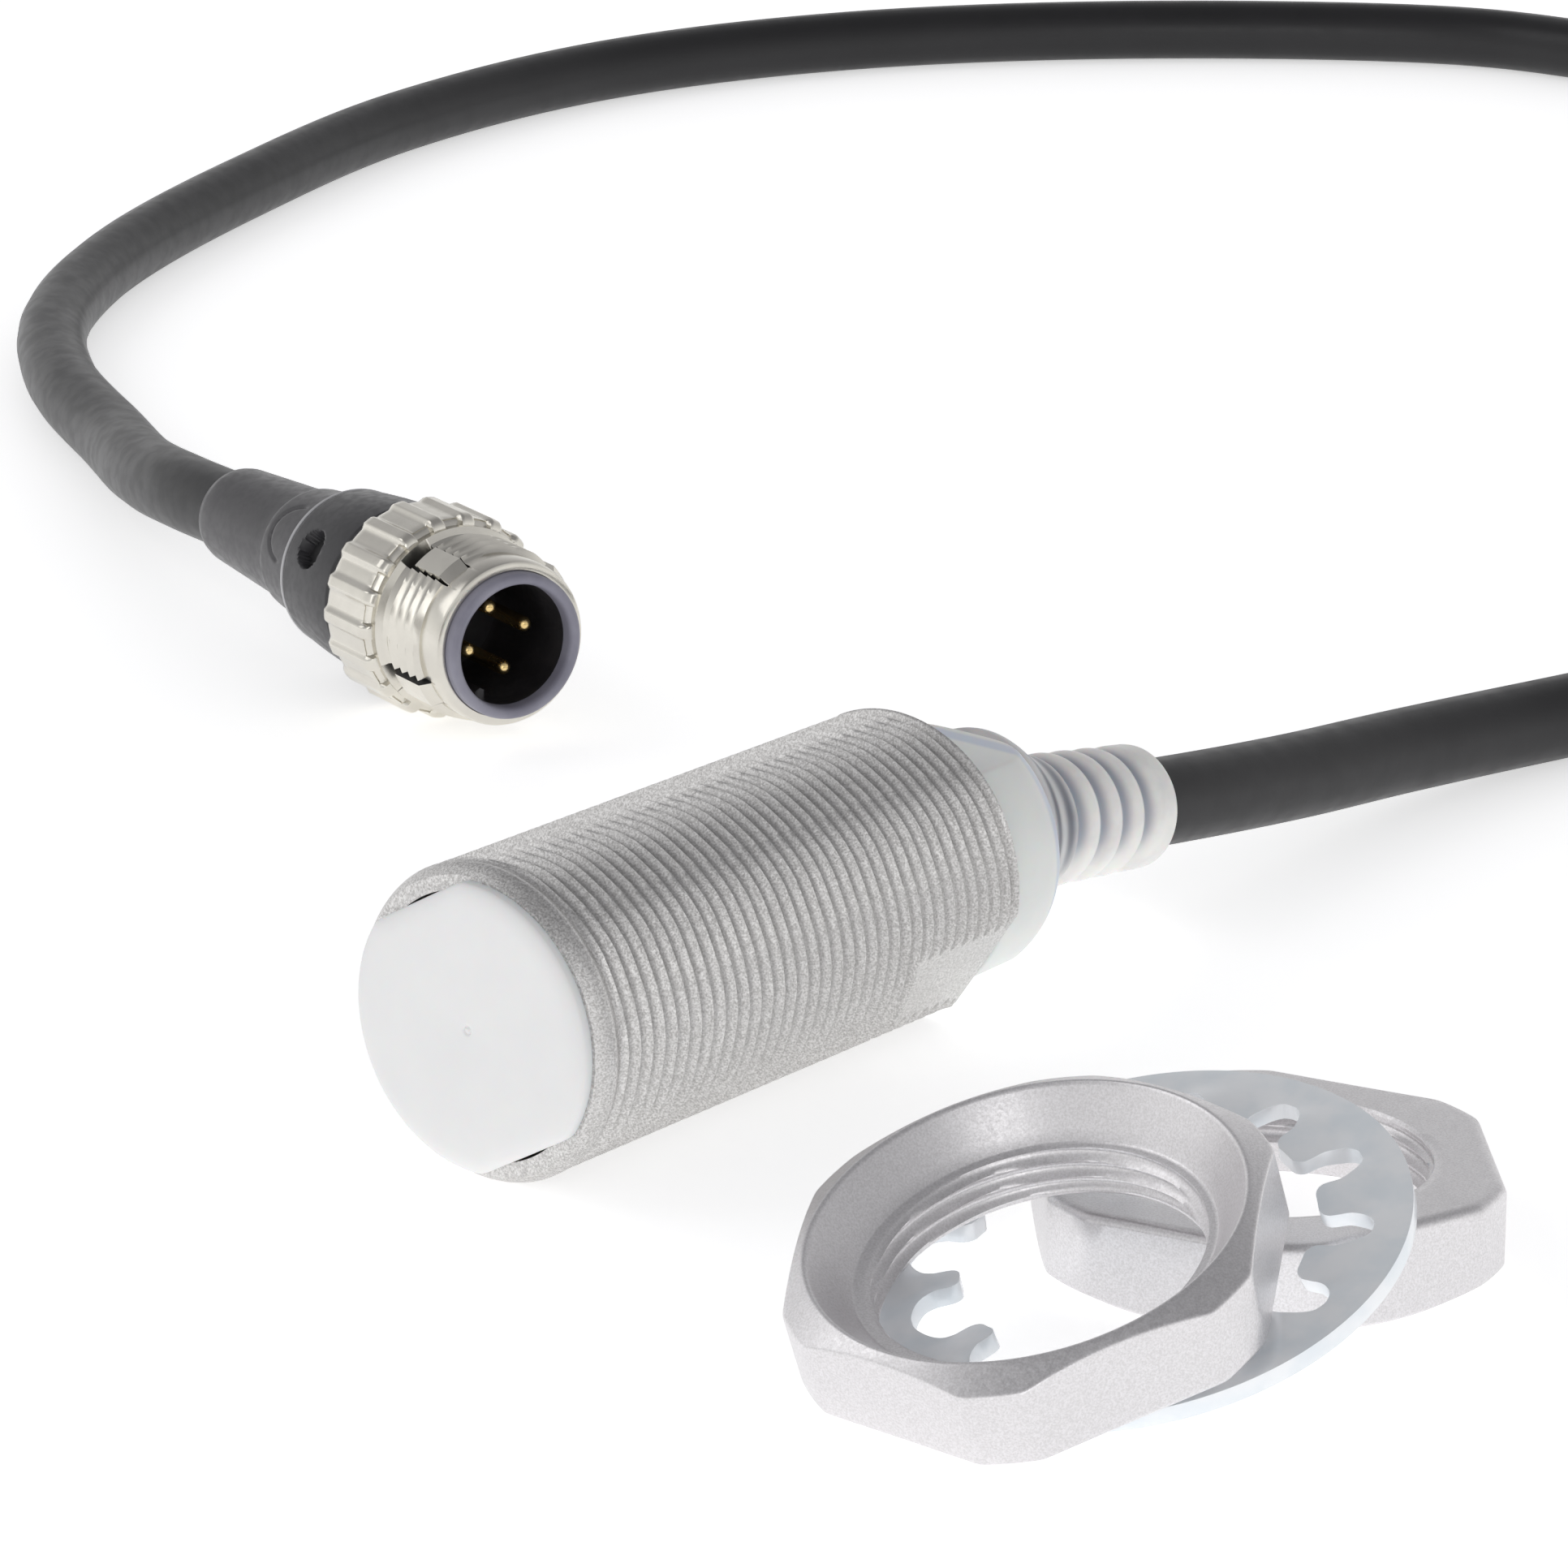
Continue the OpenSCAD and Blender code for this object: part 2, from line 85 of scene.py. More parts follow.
def leaning(x, y, z):
    """Where a piece of the leaning pile sits."""
    return shift(x, y, z) @ turn(PILE_TURN, "Z") @ turn(PILE_TILT, "X")


# ---------------------------------------------------------------- camera

CAMERA_AZIMUTH, CAMERA_ELEVATION = 39.7, 18.25
CAMERA_DISTANCE = 350.0
CAMERA_TARGET = Vector((21.93, 0.3, 18.5))
CAMERA_LENS = 158.0

azimuth, elevation = math.radians(CAMERA_AZIMUTH), math.radians(CAMERA_ELEVATION)
level = math.cos(elevation)
backwards = Vector((math.sin(azimuth) * level, -math.cos(azimuth) * level, math.sin(elevation)))
camera = bpy.data.objects.new("camera", bpy.data.cameras.new("camera"))
bpy.context.scene.collection.objects.link(camera)
camera.location = (CAMERA_TARGET + backwards * CAMERA_DISTANCE) * MM
camera.rotation_mode = "QUATERNION"
camera.rotation_quaternion = (-backwards).to_track_quat("-Z", "Y")
camera.data.sensor_width = 36
camera.data.lens = CAMERA_LENS
camera.data.clip_start = 0.01
bpy.context.scene.camera = camera

# ---------------------------------------------------------------- materials


class Finish:
    """A procedural material: a principled shader with nodes added by short calls."""

    def __init__(self, name, color, roughness, metallic=0.0, **sockets):
        self.material = bpy.data.materials.new(name)
        self.material.use_nodes = True
        self.tree = self.material.node_tree
        self.shader = self.tree.nodes["Principled BSDF"]
        self.set("Base Color", (*color, 1))
        self.set("Roughness", roughness)
        self.set("Metallic", metallic)
        for socket, value in sockets.items():
            self.set(socket.replace("_", " "), value)
        self.height = None

    def set(self, socket, value):
        """Links a socket of the shader, or sets its value."""
        if isinstance(value, bpy.types.NodeSocket):
            self.tree.links.new(value, self.shader.inputs[socket])
        else:
            self.shader.inputs[socket].default_value = value

    def node(self, kind, output, inputs, **settings):
        """Adds a node and returns one of its outputs."""
        made = self.tree.nodes.new("ShaderNode" + kind)
        for key, value in settings.items():
            setattr(made, key, value)
        for key, value in inputs.items():
            if isinstance(value, bpy.types.NodeSocket):
                self.tree.links.new(value, made.inputs[key])
            else:
                made.inputs[key].default_value = value
        return made.outputs[output]

    def place(self):
        """Coordinates in millimetres that stay with the piece."""
        at = self.node("TexCoord", "Object", {})
        return self.node("VectorMath", "Vector", {0: at, "Scale": 1 / MM}, operation="SCALE")

    def noise(self, size, detail=2.0, roughness=0.5):
        """Soft noise from 0 to 1 with features of a size in millimetres."""
        inputs = {"Vector": self.place(), "Scale": 1 / size, "Detail": detail, "Roughness": roughness}
        return self.node("TexNoise", "Fac", inputs)

    def cells(self, size):
        """Random cell values from 0 to 1, for sparkle."""
        colour = self.node("TexVoronoi", "Color", {"Vector": self.place(), "Scale": 1 / size})
        return self.node("SeparateColor", "Red", {"Color": colour})

    def value(self, name):
        """A number kept on the mesh, such as the distance along the piece in millimetres."""
        return self.node("Attribute", "Fac", {}, attribute_name=name)

    def span(self, value, low, high, to_low=0.0, to_high=1.0):
        """Maps a number from one range to another, smoothly, and clamps it."""
        inputs = {"Value": value, "From Min": low, "From Max": high, "To Min": to_low, "To Max": to_high}
        return self.node("MapRange", "Result", inputs, interpolation_type="SMOOTHSTEP")

    def mix(self, fac, a, b):
        """A colour between two colours."""
        made = self.tree.nodes.new("ShaderNodeMix")
        made.data_type = "RGBA"
        for index, value in ((0, fac), (6, a), (7, b)):
            if isinstance(value, bpy.types.NodeSocket):
                self.tree.links.new(value, made.inputs[index])
            else:
                made.inputs[index].default_value = value if index == 0 else (*value, 1)
        return made.outputs[2]

    def math(self, operation, a, b):
        """Arithmetic on two numbers."""
        return self.node("Math", "Value", {0: a, 1: b}, operation=operation)

    def bump(self, height, distance):
        """Adds relief: height from 0 to 1 stands for a distance in millimetres."""
        inputs = {"Height": height, "Distance": distance * MM, "Strength": 1.0}
        if self.height is not None:
            inputs["Normal"] = self.height
        self.height = self.node("Bump", "Normal", inputs)
        self.set("Normal", self.height)
        return self


def blasted_metal(name, dark, light, grain, relief, roughness, groove_shade=0.0):
    """Bead-blasted metal: a fine grain in tone and relief, slow cloudy variation, and painted shade darkening
    its thread roots.
    """
    f = Finish(name, light, roughness, 1.0)
    grains = f.noise(grain, 3.0, 0.65)
    clouds = f.noise(6.0, 2.0)
    tone = f.mix(f.span(grains, 0.3, 0.7), dark, light)
    tone = f.mix(f.span(clouds, 0.3, 0.8, 0.0, 0.12), tone, dark)
    # Painted shade: thread roots are darkened towards this colour by the mesh's shade value.
    root_shade = [0.6 * c for c in dark]
    f.set("Base Color", f.mix(f.span(f.value("depth"), 0.5, 1.0, 0.0, groove_shade), tone, root_shade))
    f.set("Roughness", f.span(f.cells(grain * 1.6), 0.0, 1.0, roughness - 0.04, roughness + 0.05))
    return f.bump(grains, relief).bump(f.noise(grain * 4, 2.0), relief * 0.6).material


def polished_metal(name, dark, light, roughness, relief=0.0, metallic=1.0):
    """Plated metal: slightly uneven tone and gloss, and faint relief where it is asked for."""
    f = Finish(name, light, roughness, metallic)
    clouds = f.noise(2.4, 3.0)
    f.set("Base Color", f.mix(f.span(clouds, 0.35, 0.7), light, dark))
    f.set("Roughness", f.span(f.noise(0.5, 3.0), 0.3, 0.7, roughness * 0.9, roughness * 1.15))
    if relief:
        f.bump(f.noise(0.35, 3.0), relief)
    return f.material


def moulded(name, dark, light, roughness, grain=0.12, relief=0.006, **sockets):
    """Moulded plastic: fine spark-eroded texture and a slight change of tone."""
    f = Finish(name, light, roughness, 0.0, **sockets)
    f.set("Base Color", f.mix(f.span(f.noise(3.0, 3.0), 0.3, 0.7), light, dark))
    f.set("Roughness", f.span(f.noise(0.6, 2.0), 0.3, 0.7, roughness - 0.05, roughness + 0.06))
    return f.bump(f.noise(grain, 2.0), relief).material


def cable_sheath():
    """Black PVC sheath: satin, with a faint ripple of the conductors under it."""
    f = Finish("cable_pvc", (0.012, 0.012, 0.013), 0.38, Specular_IOR_Level=0.4)
    clouds = f.span(f.noise(9.0, 3.0), 0.3, 0.7)
    f.set("Base Color", f.mix(clouds, (0.011, 0.0108, 0.012), (0.014, 0.0136, 0.015)))
    f.set("Roughness", f.span(f.noise(1.5, 3.0), 0.3, 0.7, 0.35, 0.42))
    return f.bump(f.noise(0.25, 3.0), 0.003).bump(f.noise(9.0, 1.0), 0.03).material


def milky(name, base, groove, painted_reflection=None):
    """Milky translucent plastic, greyer in its grooves as painted shade, with an optional coloured band of
    painted reflection along a station.
    """
    f = Finish(name, base, 0.35, 0.0, Subsurface_Weight=0.35, Subsurface_Scale=0.002)
    # Painted shade: greyer towards the groove colour by the mesh's shade value.
    tone = f.mix(f.span(f.value("depth"), 0.0, 1.0), base, groove)
    if painted_reflection:
        # The coloured band along the piece is a painted reflection.
        start, end, colour = painted_reflection
        band = f.math("MULTIPLY", f.span(f.value("along"), start, start + 0.5),
                      f.span(f.value("along"), end - 0.5, end, 1.0, 0.0))
        tone = f.mix(band, tone, colour)
    f.set("Base Color", f.mix(f.span(f.noise(2.5, 3.0), 0.35, 0.75, 0.0, 0.25), tone, groove))
    return f.bump(f.noise(0.6, 2.0), 0.006).material


# The barrel's thread grooves get painted shade, 0.4 of the way to a darker tone.
BARREL = blasted_metal("nickel_blasted", (0.44, 0.43, 0.42), (0.80, 0.79, 0.78), 0.12, 0.02, 0.42, 0.4)
NUT = blasted_metal("nut_blasted", (0.68, 0.665, 0.67), (0.84, 0.825, 0.84), 0.12, 0.006, 0.38)
ZINC = polished_metal("zinc_plated", (0.86, 0.91, 0.95), (0.96, 0.98, 1.0), 0.2, metallic=0.2)
NICKEL = polished_metal("nickel_plated", (0.66, 0.635, 0.575), (0.71, 0.685, 0.62), 0.22)
GOLD = polished_metal("gold_plated", (0.84, 0.62, 0.28), (0.92, 0.70, 0.34), 0.24, 0.0005)
FACE = moulded("face_plastic", (0.815, 0.815, 0.815), (0.83, 0.83, 0.825), 0.48, 0.2, 0.002,
               Subsurface_Weight=0.15, Subsurface_Scale=0.001)
BOOT = moulded("boot_plastic", (0.046, 0.044, 0.048), (0.054, 0.052, 0.056), 0.34, 0.15, 0.002,
               Specular_IOR_Level=0.5)
BAND = moulded("band_plastic", (0.40, 0.40, 0.41), (0.48, 0.48, 0.49), 0.4)
COLLAR_DARK = moulded("collar_plastic", (0.026, 0.025, 0.028), (0.032, 0.031, 0.034), 0.34, 0.15, 0.001,
                      Specular_IOR_Level=0.4)
# Painted shade: near-black for the plug collar's recess, the gap ring and the open slots of the sleeve.
SHADE_BLACK = moulded("painted_shade_black", (0.004, 0.004, 0.005), (0.008, 0.008, 0.009), 0.6)
RIM = moulded("carrier_plastic", (0.20, 0.195, 0.245), (0.27, 0.265, 0.32), 0.45, 0.15, 0.006)
# Painted shade for the inside of the contact carrier's cavity.
CAVITY_SHADE = moulded("cavity_painted_shade", (0.012, 0.011, 0.013), (0.026, 0.024, 0.026), 0.5, 0.15, 0.006)
CABLE = cable_sheath()
# The second colour is the painted shade in the guard's grooves.
GUARD = milky("guard_rubber", (0.86, 0.845, 0.82), (0.36, 0.375, 0.43))
# Painted bluish reflection band near the collar's rear edge.
INDICATOR = milky("indicator_plastic", (0.78, 0.80, 0.78), (0.66, 0.70, 0.70),
                  painted_reflection=(41.6, 43.2, (0.58, 0.64, 0.74)))
# The second colour is the painted dark reflection of the bands.
NECK = milky("neck_plastic", (0.62, 0.625, 0.63), (0.09, 0.10, 0.135))

# ---------------------------------------------------------------- meshes


def smoothstep(low, high, x):
    """0 below low, 1 above high, and smooth in between."""
    t = np.clip((np.asarray(x, float) - low) / (high - low), 0, 1)
    return t * t * (3 - 2 * t)


def soft_min(a, b, power):
    """The smaller of two radii, with a rounded change-over that is tighter for a higher power."""
    return (a ** -power + b ** -power) ** (-1 / power)


def directions(step=3.0, near=(), reach=6.0, fine=0.5):
    """Angles round a piece, in degrees, closer together near the given ones."""
    extra = [np.arange(a - reach, a + reach, fine) for a in near]
    return np.unique(np.round(np.concatenate([np.arange(0, 360, step), *extra]) % 360, 3))


def near_angle(phi, centre):
    """Difference from a direction, in degrees from -180 to 180."""
    return (phi - centre + 180) % 360 - 180


def flat_corners(radius, half, normal):
    """Directions of the four edges that a pair of flats has on a round piece."""
    reach = math.degrees(math.acos(half / radius))
    return [normal + side + k * reach for side in (0, 180) for k in (-1, 1)]


def flat_limit(phi, half, normal):
    """How far a pair of flats lets a piece reach, in each direction."""
    return half / np.maximum(np.abs(np.cos(np.radians(phi - normal))), 1e-3)


def spread(rows, phi):
    """Radii and stations in every direction, from rows of one radius and one station.

    Either value of a row can be a number or an array that changes round the piece.
    """
    r, z = (np.array([np.broadcast_to(value, phi.shape) for value in values], float) for values in zip(*rows))
    return r, z


def rounded(points, radius, steps=4):
    """A closed outline of (radius, station) pairs with its corners rounded by short arcs."""
    points = [Vector(p) for p in points]
    made = []
    for before, corner, after in zip([points[-1], *points[:-1]], points, [*points[1:], points[0]]):
        into, out = before - corner, after - corner
        cut = min(radius, into.length * 0.45, out.length * 0.45)
        a, b = corner + into.normalized() * cut, corner + out.normalized() * cut
        for k in range(steps + 1):
            t = k / steps
            made.append(a * (1 - t) ** 2 + corner * 2 * t * (1 - t) + b * t * t)
    return [(p.x, p.y) for p in made]


def finish_mesh(name, mesh, materials, body, node, sharp):
    """Cleans a mesh, shades it and ties it to the frame."""
    work = bmesh.new()
    work.from_mesh(mesh)
    bmesh.ops.remove_doubles(work, verts=work.verts, dist=1e-7)
    bmesh.ops.recalc_face_normals(work, faces=work.faces)
    work.to_mesh(mesh)
    work.free()
    mesh.shade_smooth()
    mesh.set_sharp_from_angle(angle=math.radians(sharp))
    for material in materials:
        mesh.materials.append(material)
    piece = bpy.data.objects.new(name, mesh)
    bpy.context.scene.collection.objects.link(piece)
    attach(piece, body)
    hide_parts(node)
    return piece


def turned(name, r, z, phi, place, materials, body, slot, node, loop=True, sharp=38, paint=None, depth=0.0):
    """A piece given by a radius and a station for each row and each direction round its axis.

    r and z have one row per station and one column per direction. With loop, the last row joins the first.
    paint gives the material of the face that starts at each point, and the shade value how much painted shade
    darkens it, mostly how far into a groove it is.
    """
    a = np.radians(phi)
    points = np.stack([r * np.cos(a), r * np.sin(a), z, np.ones_like(r)], -1).reshape(-1, 4)
    points = (points @ np.array(place, float).T)[:, :3] * MM
    index = np.arange(r.size).reshape(r.shape)
    after = np.roll(index, -1, 1)
    low, low_next = (index, after) if loop else (index[:-1], after[:-1])
    high, high_next = (np.roll(rows, -1, 0)[:len(low)] for rows in (index, after))
    faces = np.stack([low, low_next, high_next, high], -1).reshape(-1, 4)
    mesh = bpy.data.meshes.new(name)
    mesh.from_pydata(points.tolist(), [], faces.tolist())
    # The shade value is stored for the materials, which use it to paint shade and dark reflections.
    for key, values in (("along", z), ("depth", np.broadcast_to(depth, z.shape))):
        flat = np.ascontiguousarray(values, np.float32).ravel()
        mesh.attributes.new(key, "FLOAT", "POINT").data.foreach_set("value", flat)
    if paint is not None:
        paint = np.broadcast_to(paint, z.shape)[:len(low)]
        mesh.polygons.foreach_set("material_index", np.ascontiguousarray(paint, np.int32).ravel())
    return finish_mesh(name, mesh, materials, body, node, sharp)


# ---------------------------------------------------------------- cable

CABLE_D = 5.4
ROUTE = [
    (0.33, 49.05, -0.77), (1.05, 61.4, -2.44), (1.2, 74, -4.1), (1.5, 86, -5.3), (3.4, 99.6, -6.2),
    (8, 114, -6.25), (16, 132, -6.25), (26, 152, -6.25), (34, 174, -6.25), (36, 197, -6.25),
    (30, 219, -6.25), (16, 238, -6.25), (-4, 253, -6.25), (-28, 263, -6.25), (-54, 269, -6.25),
    (-80, 271.5, -6.25), (-104, 271.5, -6.25), (-122, 268, -6.25), (-145, 251.5, -6.25), (-162, 231, -6.25),
    (-171, 207, -6.25), (-171, 180, -6.25), (-164, 153, -6.25), (-155, 129, -6.25), (-144, 111, -6.25),
    (-130.5, 98.2, -6.2), (-114, 87.3, -5.6), (-102.5, 79, -4.2), (-92.9, 73.2, -2.7), (-84.2, 69.7, -2),
    (-80.4, 68.5, -2),
]


def smooth_route(points, steps=10):
    """A smooth curve through every route point."""
    points = [Vector(p) for p in points]
    line = []
    for i in range(len(points) - 1):
        a, b, c, d = (points[min(max(i + k, 0), len(points) - 1)] for k in (-1, 0, 1, 2))
        for k in range(steps):
            t = k / steps
            bend = (c - a) * t + (2 * a - 5 * b + 4 * c - d) * t * t + (3 * b - a - 3 * c + d) * t ** 3
            line.append(b + 0.5 * bend)
    return [*line, points[-1]]


def build_cable():
    """Round black cable along its route, as a curve with a thickness."""
    line = smooth_route(ROUTE)
    curve = bpy.data.curves.new("cable_sheath", "CURVE")
    curve.dimensions = "3D"
    spline = curve.splines.new("POLY")
    spline.points.add(len(line) - 1)
    for point, place in zip(spline.points, line):
        point.co = (*(place * MM), 1)
    curve.bevel_depth = CABLE_D / 2 * MM
    curve.bevel_resolution = 7
    curve.use_fill_caps = True
    curve.materials.append(CABLE)
    made = bpy.data.objects.new("cable_sheath", curve)
    bpy.context.scene.collection.objects.link(made)
    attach(made, "sensor")
    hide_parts("cable")
    return made


cable = build_cable()

# ---------------------------------------------------------------- sensor

PITCH = 1.0
BARREL_R, BARREL_BORE_R = 9.0, 7.6
BARREL_Y0, BARREL_Y1 = 0.9, 36.9
FRONT_ROUND, THREAD_DEPTH = 1.1, 0.5
WRENCH_HALF, WRENCH_LEN, WRENCH_TURN = 8.0, 8.5, 35.0
CAP_R, CAP_HALF, CAP_TURN = 8.25, 7.45, 60.0
COLLAR_Y1, COLLAR_R, COLLAR_HALF = 43.4, 8.1, 6.1
GUARD_S0, GUARD_S1, GUARD_R = 5.65, 15.1, 4.02


def groove(z, phi):
    """Depth, from 0 to 1, of a right-hand thread with rounded grooves and sharp crests."""
    pitches = (z - phi / 360 * PITCH) / PITCH
    return np.abs(np.sin(np.pi * pitches)) ** 0.85


def build_barrel():
    """Metal barrel with a right-hand thread, two wrench flats and a turned front rim, and painted shade in
    its thread grooves.
    """
    phi = directions(2.0, flat_corners(BARREL_R, WRENCH_HALF, WRENCH_TURN), 8.0, 0.5)
    shoulder = BARREL_Y1 - WRENCH_LEN
    rim_r = 8.45
    stations = np.arange(BARREL_Y0 + FRONT_ROUND, BARREL_Y1 - 0.15, 0.1)
    stations = np.unique(np.round([*stations, shoulder - 0.02, shoulder + 0.02], 3))
    rows = [(BARREL_BORE_R, BARREL_Y0), (8.3, BARREL_Y0)]
    rows += [(rim_r + (BARREL_R - rim_r) * np.sin(t * np.pi / 2), BARREL_Y0 + FRONT_ROUND * t)
             for t in np.linspace(0, 1, 7)[:-1]]
    rows += [(BARREL_R, s) for s in stations]
    rows += [(BARREL_R, BARREL_Y1 - 0.12), (BARREL_R - 0.14, BARREL_Y1), (BARREL_BORE_R, BARREL_Y1)]
    r, z = spread(rows, phi)
    strength = smoothstep(1.5, 3.4, z) * (1 - smoothstep(BARREL_Y1 - 0.5, BARREL_Y1 - 0.1, z))
    cut = groove(z, phi) * strength
    r = np.where(r > BARREL_R - 0.01, r - THREAD_DEPTH * cut, r)
    on_flats = (z > shoulder) & (r > BARREL_BORE_R + 0.01)
    limit = np.where(on_flats, flat_limit(phi, WRENCH_HALF, WRENCH_TURN), np.inf)
    # Painted shade: how far each point lies in a thread groove, and none on the wrench flats.
    depth = np.where((r > BARREL_BORE_R + 0.5) & (limit > r), cut, 0)
    return turned("barrel_threaded", np.minimum(r, limit), z, phi, ALONG_SENSOR, [BARREL],
                  "sensor", "barrel_metal", "barrel", depth=depth, sharp=50)


def build_cap():
    """White face cap with two flats, a wide rounded bevel and a small ring mark in a shallow dish."""
    phi = directions(2.0, flat_corners(CAP_R, CAP_HALF, CAP_TURN), 7.0, 0.5)
    outline = soft_min(CAP_R, flat_limit(phi, CAP_HALF, CAP_TURN), 90)
    bevel_in, bevel_back = 1.25, 0.5
    skirt_r, skirt_end, inner_r, wall = 7.25, 8, 6.9, 1.2
    rows = []
    for r in (0, 0.06, 0.1, 0.14, 0.18, 0.22, 0.26, 0.3, 0.35, 0.5, 0.9, 1.4, 2, 2.8, 3.8, 4.8, 5.6):
        dish = 0.10 * math.exp(-((r / 2.4) ** 2))
        mark = 0.10 * math.exp(-(((r - 0.22) / 0.06) ** 2))
        rows.append((r, dish + mark))
    for t in np.linspace(0, math.pi / 2, 13):
        rows.append((outline - bevel_in * (1 - math.sin(t)), bevel_back * (1 - math.cos(t))))
    rows += [(outline, BARREL_Y0), (skirt_r, BARREL_Y0), (skirt_r, skirt_end), (inner_r, skirt_end),
             (inner_r, wall), (0, wall)]
    r, z = spread(rows, phi)
    return turned("face_cap_moulded", r, z, phi, ALONG_SENSOR, [FACE], "sensor", "cap_plastic", "face_cap",
                  loop=False, sharp=55)


def build_collar():
    """Milky indicator collar behind the barrel, with a flat above and below."""
    y0, y1 = BARREL_Y1, COLLAR_Y1
    bore_r = 5.2
    outline = [(bore_r, y0 - 2), (7.25, y0 - 2), (7.25, y0), (COLLAR_R, y0 + 0.02), (7.98, y0 + 4.4),
               (7.6, y0 + 5.5), (6.85, y1 - 0.15), (6.3, y1), (bore_r, y1)]
    phi = directions(3.0, flat_corners(COLLAR_R, COLLAR_HALF, 90), 8.0, 0.5)
    r, z = spread(rounded(outline, 0.5), phi)
    trimmed = soft_min(r, flat_limit(phi, COLLAR_HALF, 90), 120)
    r = np.where((z > y0 + 0.05) & (r > bore_r + 0.1), trimmed, r)
    return turned("indicator_collar_milky", r, z, phi, ALONG_SENSOR, [INDICATOR],
                  "sensor", "collar_plastic", "indicator_collar", sharp=60)


def upper_side(phi, lean, low, high):
    """Mask for painted shade and reflections: 1 on top of the neck and the guard and 0 below, turned by an
    angle in degrees.
    """
    return smoothstep(low, high, 0.5 - 0.5 * np.sin(np.radians(phi - lean)))


def build_neck():
    """Glassy outlet between the collar and the ribbed guard, with two darker bands painted on its upper side
    as reflections of the dark wires inside.
    """
    outline = [(2.4, -1), (4.6, -1), (5.1, -0.4), (6.1, 0.3), (6.05, 0.9), (5.7, 1.6), (5.2, 2.4),
               (4.75, 3.2), (4.4, 4), (4.15, 4.8), (4.0, 5.4), (3.5, 5.6), (2.4, 5.6)]
    phi = directions()
    r, z = spread(rounded(outline, 0.6, 3), phi)
    # Painted dark reflection bands, on the upper side only.
    bands = np.exp(-(((z - 1.9) / 0.7) ** 2)) + 0.9 * np.exp(-(((z - 4.3) / 0.75) ** 2))
    depth = np.clip(bands * upper_side(phi, 25, 0.25, 0.8), 0, 1)
    return turned("outlet_neck_glassy", r, z, phi, ALONG_GUARD, [NECK], "sensor", "neck_plastic",
                  "outlet_neck", depth=depth, sharp=60)


def build_guard():
    """Ribbed milky strain relief round the cable, with painted shade in its grooves on the upper side."""
    groove_first, groove_step, groove_half, grooves = 5.95, 2.1, 0.48, 4
    bore_r = CABLE_D / 2 + 0.06
    s = np.linspace(GUARD_S0, GUARD_S1 - 0.6, 110)
    dips = sum(np.exp(-(((s - groove_first - groove_step * k) / groove_half) ** 2)) for k in range(grooves))
    side_r = GUARD_R - 0.03 * (s - GUARD_S0) - 0.45 * dips
    end = [(side_r[-1] - inset, GUARD_S1 - back) for inset, back in ((0.05, 0.35), (0.25, 0.08), (0.5, 0))]
    end += [(bore_r, GUARD_S1), (bore_r, GUARD_S0)]
    phi = directions()
    r, z = spread([*zip(side_r, s), *end], phi)
    # Painted shade in the grooves, strongest on the upper side.
    shade = 0.9 * np.concatenate([dips, np.zeros(len(end))])[:, None]
    depth = np.clip(shade * upper_side(phi, 20, 0.2, 0.75), 0, 1)
    return turned("cable_guard_ribbed", r, z, phi, ALONG_GUARD, [GUARD], "sensor", "guard_plastic",
                  "cable_guard", depth=depth, sharp=60)


build_barrel()
build_cap()
build_collar()
build_neck()
build_guard()

# ---------------------------------------------------------------- plug

# Directions round the plug axis: 0 is down, 180 is up, and the camera is at about 239.
FACING, KEY_TURN = 239.0, 329.0
BOOT_STEP, BOOT_END, BOOT_CORE_END = 11, 15.3, 20
COLLAR_S0, COLLAR_S1 = 15.8, 22.6
RING_S0, RING_S1, RING_R = 23.4, 29.2, 6.9
SCALLOPS, SCALLOP_DEPTH, NOTCH_DEPTH = 18, 0.3, 0.45
THREAD_S0, THREAD_S1, NOSE_S1, PLUG_S1 = 30.0, 33.8, 36.1, 37.0
PLUG_THREAD_R, PLUG_THREAD_DEPTH = 6.0, 0.55
SLOTS, SLOT_TURN, SLOT_HALF, LUG_HALF = 4, 32.0, 10.5, 9.0
CAVITY_DEPTH, CAVITY_R = 9, 4.05
PINS, PIN_R, PIN_CIRCLE_R, PIN_TURN, PIN_S0, PIN_ROUND_S = 4, 0.5, 2.2, 14, 21.5, 34.2


